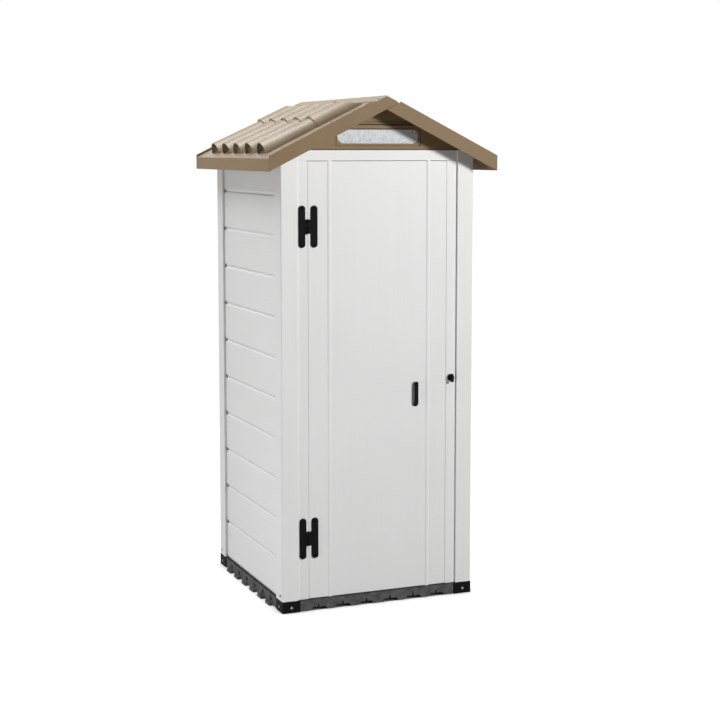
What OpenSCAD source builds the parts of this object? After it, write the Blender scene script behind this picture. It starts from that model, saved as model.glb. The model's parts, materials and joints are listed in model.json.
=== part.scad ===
// Narrow resin tool shed with a tiled gable roof, one front door and a floor of four clip tiles.
// Origin: centre of the floor on the ground. X to the right of the door, Y to the back, Z up.

/* [Floor] */
// Side of one square floor tile; two tiles make each side of the shed
tile_pitch = 410; // [360:5:480]
// Height of the floor tiles and of the corner feet
floor_h = 47; // [40:1:60]
// Thickness of the top plate of a floor tile
floor_plate = 4; // [3:0.5:6]
// Thickness of the skirt round a floor tile
skirt_wall = 4; // [3:0.5:6]
// Thickness of the ribs under a floor tile
floor_rib = 3; // [2:0.5:5]
// Connectors along one side of a floor tile
connectors = 4; // [3:1:5]
// Width of a connector arch at the ground
arch_foot_w = 81; // [60:1:86]
// Width of a connector arch at its crown
arch_crown_w = 52; // [40:1:58]
// Height of a connector arch
arch_h = 12; // [8:1:15]
// Width of the slot above a connector arch
arch_slot_w = 6; // [4:1:10]
// Height of the top of that slot above the ground
arch_slot_top = 24; // [20:1:30]
// Reach of a connector tongue out of the skirt
tongue_reach = 16; // [8:1:20]
// Width of the recess in the skirt above a tongue
tongue_hole_w = 16; // [10:1:24]
// Height of the top of that recess above the ground
tongue_hole_top = 31; // [24:1:34]
// Height of a connector tongue
tongue_h = 11; // [8:1:14]
// Draw in of each side of a tongue from its foot to its top
tongue_taper = 4; // [1:1:8]
// Radius of a round pad under a floor tile
floor_pad_r = 15; // [10:1:20]

/* [Corner feet] */
// Length of each leg of a corner foot, also the width of a corner post
post_w = 75; // [60:1:90]
// Thickness of a leg of a corner foot below the floor
foot_wall = 8; // [6:0.5:10]
// Height of the tongue of a corner foot inside its post
foot_tongue_h = 40; // [30:1:60]
// Thickness of that tongue
foot_tongue_wall = 3; // [2:0.5:4]

/* [Walls] */
// Height of one wall board from joint to joint
board_pitch = 159.3; // [140:0.1:170]
// Number of boards in one wall
boards = 11; // [10:1:12]
// Thickness of a wall board, of a door jamb and of the door
wall_t = 26; // [22:1:30]
// Thickness of the skins and webs of the hollow profiles
skin = 2.5; // [2:0.5:3]
// Setback of the boards, jambs and door behind the faces of the posts
setback = 8; // [5:1:12]
// Depth of the groove in a post that holds a board
post_groove = 20; // [14:1:24]
// Radius on the outer corner of a post
post_round = 5; // [2:1:8]
// Depth of the bevel along the lower edge of a board
bevel_depth = 3; // [2:0.5:4]
// Height of that bevel
bevel_h = 14; // [8:1:20]
// Width of the notch beside the post where two boards join
notch_w = 8; // [4:1:12]
// Depth of that notch
notch_depth = 6; // [4:0.5:6]
// Height of the tongue on top of a board
board_tongue_h = 8; // [5:1:10]
// Thickness of that tongue
board_tongue_w = 8.6; // [6:0.2:10]
// Chamfer on the upper outer edge of a board
board_nose = 1.5; // [0.5:0.5:2]

/* [Doorway] */
// Height of the door header
header_h = 39; // [30:1:50]
// Height of the posts and of the header above the top of the boards
wall_rise = 12.7; // [10:0.1:20]
// Width of a door jamb between its post and the door
jamb_w = 38; // [34:1:46]
// Gap between the door leaf and the jambs or the floor
door_gap = 2; // [1.5:0.5:4]
// Gap between the door leaf and the header
door_top_gap = 3; // [2:0.5:5]
// Rough width of one hollow cell of a door panel
door_cell = 45; // [30:1:60]
// Distance of the raised beads of the door from its edges
bead_inset = 84; // [60:1:110]
// Width of a bead
bead_w = 37; // [30:1:42]
// Height of a bead above the face of the door
bead_h = 5; // [3:1:12]
// Thickness of the caps on the top and bottom of the door
door_cap = 3; // [2:0.5:5]

/* [Hinges] */
// Height of the centre of the lower hinge
hinge_low_z = 291.5; // [200:0.5:400]
// Distance of the centre of the upper hinge below the top of the doorway
hinge_drop = 254.5; // [180:0.5:360]
// Height of one upright bar of a hinge
hinge_bar_h = 163; // [140:1:180]
// Width of one upright bar of a hinge
hinge_bar_w = 27; // [22:1:30]
// Thickness of a hinge bar
hinge_bar_t = 4; // [3:0.5:5]
// Height of one knuckle of a hinge
knuckle_h = 27; // [20:1:36]
// Radius of a knuckle
knuckle_r = 6.5; // [5:0.5:8]
// Radius of the hinge pin
pin_r = 3; // [2.5:0.5:3.5]
// Radius of the head of the hinge pin
pin_head_r = 4.5; // [4:0.5:6]
// Height of the head of the hinge pin
pin_head_h = 2; // [1.5:0.5:3]

/* [Handle and lock] */
// Distance of the handle from the edge of the door
handle_inset = 138; // [115:1:180]
// Height of the centre of the handle
handle_z = 838; // [700:1:1000]
// Overall height of the handle
handle_h = 100; // [80:1:140]
// Width of the handle
handle_w = 16; // [12:1:20]
// Reach of the handle out of the door
handle_reach = 22; // [18:1:30]
// Thickness of the grip of the handle
handle_grip_t = 8; // [6:1:10]
// Height of each foot of the handle
handle_foot_h = 11; // [9:1:14]
// Bevel at the upper end of the grip
handle_bevel = 5; // [3:1:7]
// Length of the slanting lower end of the grip
handle_slant = 16; // [10:1:20]
// Height of the centre of the lock
lock_z = 897; // [750:1:1000]
// Radius of the lock rosette
rosette_r = 18; // [15:1:18]
// Thickness of the lock rosette
rosette_t = 3; // [2:0.5:4]
// Radius of the turning knob of the lock
knob_r = 12; // [8:1:13]
// Reach of each lobe of the knob from its axis
knob_lobe = 17; // [14:1:18]
// Thickness of the lobes of the knob
knob_lobe_t = 12; // [8:1:14]
// Reach of the knob out of the jamb
knob_reach = 22; // [18:1:28]
// Radius of the spindle of the knob
spindle_r = 6; // [4:0.5:7]
// Reach of the locking cam into the edge of the door
cam_bite = 10; // [8:0.5:12]
// Width of the locking cam
cam_w = 12; // [8:1:14]
// Thickness of the locking cam
cam_t = 4; // [3:0.5:5]
// Radius of the locking cam round its axis
cam_hub_r = 7; // [6.5:0.5:9]
// Wall of the sleeve of the rosette in the jamb
sleeve_wall = 2; // [1.5:0.5:3]
// Reach of that sleeve behind the skin of the jamb
sleeve_reach = 2; // [1:0.5:4]

/* [Roof] */
// Overhang of the roof past the posts at each eave
eave_overhang = 69.5; // [50:0.5:90]
// Overhang of the roof past the posts at the front and back
gable_overhang = 74; // [50:1:90]
// Depth that the outer edge of a post top is bevelled under the roof
post_bevel = 1.3; // [0.5:0.1:4]
// Slope of the roof in degrees
roof_pitch = 26.27; // [24:0.01:28]
// Thickness of the sheet of a roof panel
roof_sheet = 5; // [4:0.5:6]
// Barrel ribs on one slope
ribs = 5; // [4:1:5]
// Distance between two barrel ribs
rib_pitch = 150; // [140:1:160]
// Width of a barrel rib at its foot
rib_w = 118; // [100:1:124]
// Height of a barrel rib above the sheet
rib_h = 40; // [26:1:44]
// Rise of the upper course of ribs over the lower one
course_lift = 4; // [2:0.5:8]
// Distance from the eave to the lower ends of the ribs, along the slope
rib_start = 38; // [30:1:60]
// Distance from the eave to the lip of the upper course, along the slope
course_step = 272; // [200:1:300]
// Depth of the recess in the lower end of a rib
rib_recess = 10; // [3:1:14]
// Lean of that lower end up the slope, from its foot to its crest
rib_lean = 6; // [0:1:16]
// Thickness of the wall of a rib
rib_wall = 3; // [2:0.5:4]
// Length of the slanting upper end of a rib
rib_slant = 72; // [40:1:80]
// Distance of the lower screws in the flat strips from the eave, along the slope
strip_screw_low = 88; // [75:1:120]
// Distance of the upper screws in the flat strips from the eave, along the slope
strip_screw_high = 315; // [250:1:400]
// Distance of the end screws of the ridge cap from its ends
ridge_screw_inset = 20; // [12:1:40]

/* [Fascias and ridge] */
// Upright height of a fascia board
fascia_h = 60; // [50:1:75]
// Thickness of a fascia board
fascia_t = 8; // [6:1:10]
// Rise of the gable fascias above the roof panel
fascia_proud = 10; // [6:1:14]
// Width of the flange of a fascia under the roof panel
fascia_flange = 24; // [16:1:30]
// Half width of the ridge cap, level
ridge_half = 47; // [40:1:60]
// Gap between the ridge cap and the raised edge of a gable fascia, level
fascia_notch = 12; // [8:1:20]
// Thickness of the ridge cap
ridge_t = 3; // [2:0.5:4]
// Width of the ridge beam
beam_w = 40; // [30:1:50]
// Height of the sides of the ridge beam
beam_h = 26; // [20:1:40]

/* [Gable] */
// Thickness of a gable panel
gable_t = 12; // [10:1:16]
// Width of the recessed surround on each side of the window
surround_side = 8; // [6:1:20]
// Height of the surround below the window
surround_below = 11; // [6:1:14]
// Height of the surround above the window
surround_above = 5; // [5:1:8]
// Height of the lower edge of the surround above the posts
surround_rise = 15; // [12:1:18]
// Width of the window pane opening, with round ends
window_w = 344; // [300:1:348]
// Height of the window pane opening
window_h = 54; // [40:1:58]
// Depth of the seat of the surround in the gable panel
surround_depth = 5; // [3:1:6]
// Depth of the face of the surround behind the face of the gable
surround_sink = 1; // [0.5:0.5:2]
// Thickness of the window pane
pane_t = 4; // [2:0.5:4]
// Rim of the surround that overlaps the pane
pane_lap = 3; // [2:0.5:4]
// Height of the lower cut line above the posts
line_rise = 99.6; // [92:0.1:105]
// Distance between the two cut lines
line_gap = 14.3; // [8:0.1:20]
// Width of a cut line
line_w = 3; // [2:0.5:5]
// Depth of a cut line
line_depth = 1.5; // [1:0.5:3]

/* [Screws] */
// Radius of a screw shank
screw_r = 2.2; // [1.5:0.1:2.5]
// Radius of a screw head
screw_head_r = 5; // [4:0.5:6]
// Thickness of a screw head
screw_head_t = 2.5; // [1.5:0.5:3]
// Length of a screw shank
screw_len = 7; // [6:0.5:9]
// Height of the screws in a corner foot above the ground
foot_screw_z = 21; // [14:1:30]
// Distance of the screw low in a post from the corner of the shed
post_screw_inset = 25; // [20:1:40]

/* [Hidden] */

$fn = 48;
// Gap left between two pieces that are fitted together
fit = 0.3;
// Radial clearance of a turning pin in its hole
pin_gap = 0.06;
// Overlap that makes a cut run clean through a face
eps = 1;

// Clearance of a screw in its hole
screw_gap = 0.1;
// Gap between the knuckles of a hinge and the face of the wall
knuckle_gap = 0.5;
// Room between the bars of a hinge leaf and the knuckle beside it
leaf_gap = 1;
// Rise of the head of a hinge pin above the knuckle
pin_stand = 1;
// Clearance of the locking cam in its slots
cam_gap = 1;
// Margin of the thicker band of the roof beside the outer ribs
band_margin = 4;
// Gap between the upper ends of the ribs and the ridge cap
rib_end_gap = 2;

// Half the width of the shed over its posts
half = tile_pitch;
// Outer and inner faces of the boards, measured from the middle
wall_out = half - setback;
wall_in = wall_out - wall_t;
// Inner face of the tongue on top of a board
board_tongue_x = (wall_in + wall_out - board_tongue_w) / 2;
// Inner edge of a post, and the end of a board in its groove
post_in = half - post_w;
board_end = post_in + post_groove - fit;
// Half width of the doorway between the jambs, and of the door
jamb_in = post_in - jamb_w;
door_half = jamb_in - door_gap;
boards_top = floor_h + boards * board_pitch;
wall_top = boards_top + wall_rise;
door_top = wall_top - header_h;
// Roof measures
slope = tan(roof_pitch);
roof_half = half + eave_overhang;
roof_depth = half + gable_overhang;
slope_len = roof_half / cos(roof_pitch);
sheet_drop = roof_sheet / cos(roof_pitch);
// The posts carry the roof, so their tops set its height
eave_z = wall_top - post_bevel + sheet_drop - slope * eave_overhang;
apex_z = eave_z + slope * roof_half;
ridge_rise = ridge_t / cos(roof_pitch);
bead_x = door_half - bead_inset;
// The hinge axis stands in front of the gap beside the door, and each hinge fills the jamb
hinge_x = -(door_half + door_gap / 2);
hinge_stand = knuckle_r + knuckle_gap;
hinge_y = -(wall_out + hinge_stand);
hinge_high_z = door_top - hinge_drop;
hinge_bar_x = jamb_w + door_gap / 2 - fit - hinge_bar_w / 2;
handle_x = door_half - handle_inset;
lock_x = (jamb_in + post_in) / 2;
cam_len = lock_x - door_half + cam_bite;
// The cam turns midway through the thickness of the jamb
cam_y = -(wall_out + wall_in) / 2;

// Half outline of a rib: radius of the arc that has the rib's width and height
function arc_r(w, h) = (w * w / 4 + h * h) / (2 * h);
rib_r = arc_r(rib_w, rib_h);
rib_drop = rib_r - rib_h;
upper_w = rib_w + 2 * course_lift;
upper_h = rib_h + course_lift;
upper_r = arc_r(upper_w, upper_h);
upper_drop = upper_r - upper_h;
// The same lean at a height just above the crest
lean_z = rib_h + eps;
lean_x = rib_lean * lean_z / rib_h;
// Positions of the ribs across the roof
rib_ys = [for (i = [0:ribs - 1]) (i - (ribs - 1) / 2) * rib_pitch];
// The ribs end at the ridge cap, with a slanting upper end
rib_end = (roof_half - ridge_half) / cos(roof_pitch) - rib_end_gap;
surround_z = wall_top + surround_rise;
surround_w = window_w + 2 * surround_side;
surround_h = window_h + surround_below + surround_above;
line_zs = [wall_top + line_rise, wall_top + line_rise + line_gap];
// Height of the underside of a roof panel at a distance x from the middle
function under_z(x) = eave_z + slope * (roof_half - x) - sheet_drop;

white = "ghostwhite";
taupe = [0.60, 0.52, 0.41];
light_taupe = [0.78, 0.71, 0.61];
black = [0.10, 0.10, 0.10];
dark_grey = [0.24, 0.24, 0.25];
steel = "silver";

// Small helpers

// The four corners: sx and sy are -1 or 1
module corner(sx, sy) {
    mirror([sx < 0 ? 1 : 0, 0, 0])
    mirror([0, sy < 0 ? 1 : 0, 0])
    children();
}

// Turns an outline drawn in X and Z into a plate from y0 to y1
module plate_xz(y0, y1) {
    translate([0, y1, 0])
    rotate([90, 0, 0])
    linear_extrude(y1 - y0)
    children();
}

// Places a piece drawn with X up the slope, Y to the back and Z off the sheet onto the left slope
module on_left_slope() {
    translate([-roof_half, 0, eave_z])
    rotate([0, -roof_pitch, 0])
    children();
}

// A screw that points along -Z, with its head above the origin
module screw(len = screw_len) {
    cylinder(r = screw_head_r, h = screw_head_t);
    translate([0, 0, -len])
    cylinder(r = screw_r, h = len + eps / 2);
}

// The hole that a screw pointing along -Z needs
module screw_hole(len = screw_len) {
    translate([0, 0, -len - fit])
    cylinder(r = screw_r + screw_gap, h = len + fit + eps);
}

// The outline of everything under the roof panels, with a gap to them
module under_roof(gap = fit) {
    polygon([
        [-roof_half, 0],
        [roof_half, 0],
        [roof_half, under_z(roof_half) - gap],
        [0, under_z(0) - gap],
        [-roof_half, under_z(roof_half) - gap]
    ]);
}

// Floor tiles

// Plan of one tile in the corner x > 0, y > 0, drawn in by d, with room for the foot
module tile_plan(d) {
    edge = half - foot_wall / 2 - d;
    foot_edge = half - foot_wall - fit - d;
    foot_start = post_in - fit - d;
    translate([d + fit, d + fit])
    square([edge - d - fit, foot_start - d - fit]);
    translate([d + fit, d + fit])
    square([foot_start - d - fit, edge - d - fit]);
    translate([d + fit, d + fit])
    square([foot_edge - d - fit, foot_edge - d - fit]);
}

// Middle of each connector along a tile side
connector_xs = [for (i = [0:connectors - 1]) (i + 0.5) * tile_pitch / connectors];

// The arch and slot of a connector, seen from outside the skirt
module arch_outline(x) {
    inner_foot = min(arch_foot_w / 2, x - tile_pitch / connectors / 4);
    polygon([
        [x - inner_foot, -eps],
        [x + arch_foot_w / 2, -eps],
        [x + arch_foot_w / 2, 0],
        [x + arch_crown_w / 2, arch_h],
        [x - min(arch_crown_w / 2, inner_foot), arch_h],
        [x - inner_foot, 0]
    ]);
    translate([x - arch_slot_w / 2, 0])
    square([arch_slot_w, arch_slot_top]);
}

// One tongue: a low tapered foot that reaches out of the skirt
module tongue(x) {
    edge = half - foot_wall / 2;
    difference() {
        translate([0, edge + tongue_reach, 0])
        rotate([90, 0, 0])
        linear_extrude(tongue_reach + eps)
        polygon([
            [x - arch_crown_w / 2, 0],
            [x + arch_crown_w / 2, 0],
            [x + arch_crown_w / 2 - tongue_taper, tongue_h],
            [x - arch_crown_w / 2 + tongue_taper, tongue_h]
        ]);
        translate([x, edge + tongue_reach / 2, tongue_h / 2])
        cylinder(r = tongue_reach / 4, h = tongue_h);
    }
}

// A tile in the corner x > 0, y > 0; tongue_x and tongue_y say which sides carry tongues
module floor_tile(tongue_x, tongue_y) {
    outer_xs = [for (x = connector_xs) if (x < post_in - arch_foot_w / 2) x];
    color(dark_grey) {
        difference() {
            linear_extrude(floor_h)
            tile_plan(0);
            translate([0, 0, -eps])
            linear_extrude(floor_h - floor_plate + eps)
            tile_plan(skirt_wall);
            for (x = outer_xs) {
                if (tongue_y)
                    tongue_recess(x);
                else
                    arch_cut(x);
                mirror([1, -1, 0])
                if (tongue_x)
                    tongue_recess(x);
                else
                    arch_cut(x);
            }
        }
        floor_ribs();
        for (x = outer_xs) {
            if (tongue_y)
                tongue(x);
            if (tongue_x)
                mirror([1, -1, 0])
                tongue(x);
        }
    }
}

module arch_cut(x) {
    edge = half - foot_wall / 2;
    plate_xz(edge - skirt_wall - eps, edge + eps)
    arch_outline(x);
}

module tongue_recess(x) {
    edge = half - foot_wall / 2;
    translate([x - tongue_hole_w / 2, edge - skirt_wall - eps, tongue_h])
    cube([tongue_hole_w, skirt_wall + 2 * eps, tongue_hole_top - tongue_h]);
}

// Ribs and round pads under the top plate
module floor_ribs() {
    edge = half - foot_wall - fit - skirt_wall / 2;
    rib_top = floor_h - floor_plate / 2;
    for (i = [1:connectors - 1]) {
        at = i * tile_pitch / connectors;
        translate([at - floor_rib / 2, skirt_wall, 0])
        cube([floor_rib, edge - skirt_wall, rib_top]);
        translate([skirt_wall, at - floor_rib / 2, 0])
        cube([edge - skirt_wall, floor_rib, rib_top]);
    }
    for (i = [1, connectors - 1], j = [1, connectors - 1])
        translate([i, j, 0] * tile_pitch / connectors)
        cylinder(r = floor_pad_r, h = rib_top);
}

// Corner feet and posts, drawn in the corner x > 0, y > 0

module corner_foot() {
    inner = half - foot_wall;
    tongue_out = half - skin - fit;
    tongue_in = tongue_out - foot_tongue_wall;
    color(black)
    difference() {
        union() {
            linear_extrude(floor_h)
            difference() {
                translate([post_in, post_in])
                square(post_w);
                translate([post_in - eps, post_in - eps])
                square(post_w - foot_wall + eps);
            }
            translate([0, 0, floor_h - eps])
            linear_extrude(foot_tongue_h + eps)
            difference() {
                translate([tongue_start(), tongue_start()])
                square(tongue_out - tongue_start());
                translate([tongue_start() - eps, tongue_start() - eps])
                square(tongue_in - tongue_start() + eps);
            }
        }
        foot_screw_places()
        screw_hole(foot_wall);
        post_screw_places()
        screw_hole();
    }
}

// Start of the foot's tongue, behind the wall of the groove
function tongue_start() = post_in + post_groove + skin + 2 * fit;

module foot_screw_places() {
    translate([half - post_w / 2, half, foot_screw_z])
    rotate([-90, 0, 0])
    children();
    translate([half, half - post_w / 2, foot_screw_z])
    rotate([0, 90, 0])
    children();
}

module post_screw_places() {
    translate([half, half - post_screw_inset, floor_h + foot_tongue_h / 2])
    rotate([0, 90, 0])
    children();
}

module post_section() {
    groove_end = post_in + post_groove;
    cell = groove_end + skin;
    difference() {
        square_rounded();
        translate([cell, cell])
        square(half - skin - cell);
        translate([post_in - eps, wall_in - fit])
        square([post_groove + eps, wall_t + 2 * fit]);
        translate([wall_in - fit, post_in - eps])
        square([wall_t + 2 * fit, post_groove + eps]);
    }
}

// Post outline: square, rounded on its outer corner only
module square_rounded() {
    translate([post_in, post_in])
    square([post_w, post_w - post_round]);
    translate([post_in, post_in])
    square([post_w - post_round, post_w]);
    translate([half - post_round, half - post_round])
    circle(post_round);
}

module corner_post() {
    color(white)
    difference() {
        intersection() {
            translate([0, 0, floor_h])
            linear_extrude(wall_top - floor_h)
            post_section();
            plate_xz(post_in - eps, half + eps)
            under_roof();
        }
        post_screw_places()
        screw_hole();
    }
}

module foot_screws() {
    color(steel)
    for (sx = [-1, 1], sy = [-1, 1])
        corner(sx, sy)
        foot_screw_places()
        screw(foot_wall);
}

module post_screws() {
    color(steel)
    for (sx = [-1, 1], sy = [-1, 1])
        corner(sx, sy)
        post_screw_places()
        screw();
}

// Wall boards

// Section of one board, across the wall in X and up in Y, outer face at x = wall_out
module board_section() {
    cell_h = (board_pitch - bevel_h - board_nose - 3 * skin) / 2;
    difference() {
        polygon([
            [wall_in, 0],
            [wall_out - bevel_depth, 0],
            [wall_out, bevel_h],
            [wall_out, board_pitch - board_nose],
            [wall_out - board_nose, board_pitch],
            [wall_in, board_pitch]
        ]);
        for (i = [0, 1])
            translate([wall_in + skin, bevel_h + skin + i * (cell_h + skin)])
            square([wall_t - 2 * skin, cell_h]);
        translate([board_tongue_x - fit, -eps])
        square([board_tongue_w + 2 * fit, board_tongue_h + fit + eps]);
    }
    translate([board_tongue_x, board_pitch - eps])
    square([board_tongue_w, board_tongue_h + eps]);
}

// One wall of boards between the posts, facing +X
module wall_of_boards() {
    color(white)
    for (i = [0:boards - 1])
        translate([0, 0, floor_h + i * board_pitch])
        difference() {
            translate([0, board_end, 0])
            rotate([90, 0, 0])
            linear_extrude(2 * board_end)
            board_section();
            if (i > 0)
                for (s = [-1, 1])
                    translate([wall_out - notch_depth, s * (post_in - notch_w / 2) - notch_w / 2, -eps])
                    cube([notch_depth + eps, notch_w, bevel_h + eps]);
        }
}

// Rail that closes a side wall under the roof panel, on the wall x > 0
module wall_top_rail() {
    color(white)
    plate_xz(-board_end, board_end)
    difference() {
        polygon([
            [wall_in, boards_top],
            [wall_out, boards_top],
            [wall_out, under_z(wall_out) - fit],
            [wall_in, under_z(wall_in) - fit]
        ]);
        translate([board_tongue_x - fit, boards_top - eps])
        square([board_tongue_w + 2 * fit, board_tongue_h + fit + eps]);
    }
}

// Door frame

module door_jamb(side) {
    groove_x = post_in + post_groove - fit;
    color(white)
    difference() {
        translate([0, 0, floor_h])
        linear_extrude(door_top - floor_h)
        mirror([side < 0 ? 1 : 0, 0])
        difference() {
            translate([jamb_in, -wall_out])
            square([groove_x - jamb_in, wall_t]);
            translate([jamb_in + skin, -wall_out + skin])
            square([post_in - jamb_in - 2 * skin, wall_t - 2 * skin]);
        }
        if (side > 0) {
            translate([lock_x, -wall_out - eps, lock_z])
            rotate([-90, 0, 0])
            cylinder(r = spindle_r + sleeve_wall + fit, h = skin + 2 * eps);
            cam_slot(jamb_in - eps, jamb_in + skin + eps);
        }
    }
}

// Slot for the cam through an upright wall from x0 to x1
module cam_slot(x0, x1) {
    translate([x0, cam_y - cam_t / 2 - cam_gap, lock_z - cam_w / 2 - cam_gap])
    cube([x1 - x0, cam_t + 2 * cam_gap, cam_len + cam_w / 2 + cam_gap]);
}

module door_header() {
    color(white)
    difference() {
        translate([-board_end, -wall_out, door_top])
        cube([2 * board_end, wall_t, header_h]);
        translate([-board_end - eps, -wall_out + skin, door_top + skin])
        cube([2 * board_end + 2 * eps, wall_t - 2 * skin, header_h - 2 * skin]);
    }
}

// Gables

// Outline of a gable above z0, as far out as the boards
module gable_outline(z0) {
    intersection() {
        under_roof();
        translate([-wall_out, z0])
        square([2 * wall_out, apex_z - z0]);
    }
}

// Slot shape with round ends, centred on the window
module pill(w, h) {
    translate([0, surround_z + surround_below + window_h / 2])
    union() {
        square([w - h, h], center = true);
        for (s = [-1, 1])
            translate([s * (w - h) / 2, 0])
            circle(h / 2);
    }
}

module gable_panel_front() {
    y0 = -wall_out;
    color(taupe)
    difference() {
        plate_xz(y0, y0 + gable_t)
        gable_outline(wall_top);
        plate_xz(y0 - eps, y0 + surround_depth)
        translate([-surround_w / 2, surround_z])
        square([surround_w, surround_h]);
        plate_xz(y0, y0 + gable_t + eps)
        pill(window_w + 2 * pane_lap, window_h + 2 * pane_lap);
        for (z = line_zs)
            translate([-wall_out, y0 - eps, z - line_w / 2])
            cube([2 * wall_out, line_depth + eps, line_w]);
    }
}

module gable_panel_rear() {
    y0 = wall_out - gable_t;
    tongue_out = board_tongue_x + board_tongue_w;
    color(taupe)
    difference() {
        union() {
            plate_xz(y0, wall_out)
            gable_outline(wall_top);
            translate([-post_in + fit, y0, boards_top])
            cube([2 * (post_in - fit), gable_t, wall_top - boards_top + eps]);
        }
        // Room for the tongue of the top board
        translate([-half, wall_in - eps, boards_top - eps])
        cube([2 * half, tongue_out - wall_in + fit + eps, board_tongue_h + fit + eps]);
        for (z = line_zs)
            translate([-wall_out, wall_out - line_depth, z - line_w / 2])
            cube([2 * wall_out, line_depth + eps, line_w]);
    }
}

module window_surround() {
    y0 = -wall_out + surround_sink;
    y1 = -wall_out + surround_depth;
    color(taupe)
    difference() {
        plate_xz(y0, y1)
        translate([-surround_w / 2 + fit, surround_z + fit])
        square([surround_w - 2 * fit, surround_h - 2 * fit]);
        plate_xz(y0 - eps, y1 + eps)
        pill(window_w, window_h);
    }
}

module window_pane() {
    y0 = -wall_out + surround_depth;
    color([0.92, 0.93, 0.93])
    plate_xz(y0, y0 + pane_t)
    pill(window_w + 2 * (pane_lap - fit), window_h + 2 * (pane_lap - fit));
}

// Roof

// The ribs as bars: circles of radius r, sunk by drop, over the side profile of a course
module rib_bars(r, drop, x0, x1) {
    translate([x0, 0, 0])
    rotate([90, 0, 90])
    linear_extrude(x1 - x0)
    for (y = rib_ys)
        translate([y, -drop])
        circle(r, $fn = 96);
}

// A block along the whole roof, from its side profile in the slope's X and Z
module slope_block(y) {
    translate([0, y, 0])
    rotate([90, 0, 0])
    linear_extrude(2 * y)
    children();
}

// Side profile of the upper course, moved inwards by d
module upper_profile(d) {
    polygon([
        [course_step + d, -roof_sheet - d],
        [rib_end - d, -roof_sheet - d],
        [rib_end - d, 0],
        [rib_end - rib_slant - d, upper_h],
        [rib_end - rib_slant - d, upper_h + eps],
        [course_step + d, upper_h + eps]
    ]);
}

// Side profile of the lower course, with its foot at x0 and its underside at z0
module lower_profile(x0, z0) {
    polygon([
        [x0, z0],
        [course_step + rib_wall, z0],
        [course_step + rib_wall, lean_z],
        [x0 + lean_x, lean_z],
        [x0, 0]
    ]);
}

// Side profile of the recess in the lower end of a rib
module recess_profile() {
    polygon([
        [rib_start - eps, 0],
        [rib_start + rib_recess, 0],
        [rib_start + rib_recess + lean_x, lean_z],
        [rib_start - eps, lean_z]
    ]);
}

module roof_panel() {
    sheet_y = roof_depth - fascia_t - fit;
    band_y = (ribs - 1) / 2 * rib_pitch + upper_w / 2 + band_margin;
    color(light_taupe)
    intersection() {
        on_left_slope()
        difference() {
            union() {
                translate([0, -sheet_y, -roof_sheet])
                cube([slope_len, 2 * sheet_y, roof_sheet]);
                translate([course_step, -band_y, -roof_sheet / 2])
                cube([rib_end - course_step, 2 * band_y, roof_sheet / 2 + course_lift / 2]);
                intersection() {
                    rib_bars(rib_r, rib_drop, rib_start, course_step + rib_wall);
                    slope_block(band_y)
                    lower_profile(rib_start, -roof_sheet / 2);
                }
                intersection() {
                    rib_bars(upper_r, upper_drop, course_step, rib_end);
                    slope_block(band_y)
                    intersection() {
                        upper_profile(0);
                        translate([0, -roof_sheet / 2])
                        square([slope_len, upper_h + roof_sheet]);
                    }
                }
            }
            // The hollow under the lower course
            intersection() {
                rib_bars(rib_r - rib_wall, rib_drop, rib_start, slope_len);
                slope_block(band_y)
                lower_profile(rib_start + rib_recess + rib_wall, -roof_sheet - eps);
            }
            // The hollow under the upper course
            intersection() {
                rib_bars(upper_r - rib_wall, upper_drop, rib_start, slope_len);
                slope_block(band_y)
                upper_profile(rib_wall);
            }
            // The shallow recess in the lower end of each rib
            intersection() {
                rib_bars(rib_r - rib_wall, rib_drop, rib_start - eps, rib_start + rib_recess + lean_x);
                slope_block(band_y)
                recess_profile();
            }
            roof_screw_spots()
            screw_hole();
            ridge_screw_spots()
            screw_hole(ridge_t + 2 * roof_sheet);
        }
        translate([-2 * roof_half, -roof_depth, 0])
        cube([2 * roof_half - fit / 2, 2 * roof_depth, 2 * apex_z]);
    }
}

// Places of the screws through the flat strips, over the gables
module roof_screw_spots() {
    for (x = [strip_screw_low, strip_screw_high], s = [-1, 1])
        translate([x, s * wall_out, 0])
        children();
}

// Places of the screws through the ridge cap, on the left slope
module ridge_screw_spots() {
    lift = ridge_t + fit;
    at = (roof_half - ridge_half / 2) / cos(roof_pitch);
    end_y = roof_depth - ridge_screw_inset;
    for (y = [-end_y, 0, end_y])
        translate([at, y, lift])
        children();
}

module roof_screws() {
    color(steel)
    for (m = [0, 1])
        mirror([m, 0, 0])
        on_left_slope() {
            roof_screw_spots()
            screw(roof_sheet);
            ridge_screw_spots()
            screw(ridge_t + roof_sheet);
        }
}

module ridge_outline() {
    z0 = apex_z + fit;
    dz = slope * ridge_half;
    polygon([
        [0, z0],
        [ridge_half, z0 - dz],
        [ridge_half, z0 - dz + ridge_rise],
        [0, z0 + ridge_rise],
        [-ridge_half, z0 - dz + ridge_rise],
        [-ridge_half, z0 - dz]
    ]);
}

module ridge_cap() {
    color(light_taupe)
    difference() {
        plate_xz(-roof_depth, roof_depth)
        ridge_outline();
        for (m = [0, 1])
            mirror([m, 0, 0])
            on_left_slope()
            ridge_screw_spots()
            screw_hole();
    }
}

module ridge_beam() {
    top = under_z(0) - fit;
    side = top - slope * beam_w / 2;
    reach = wall_out - gable_t - fit;
    color(white)
    plate_xz(-reach, reach)
    difference() {
        polygon([
            [-beam_w / 2, side - beam_h],
            [beam_w / 2, side - beam_h],
            [beam_w / 2, side],
            [0, top],
            [-beam_w / 2, side]
        ]);
        translate([-beam_w / 2 + skin, side - beam_h + skin])
        square([beam_w - 2 * skin, beam_h - 2 * skin]);
    }
}

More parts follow.
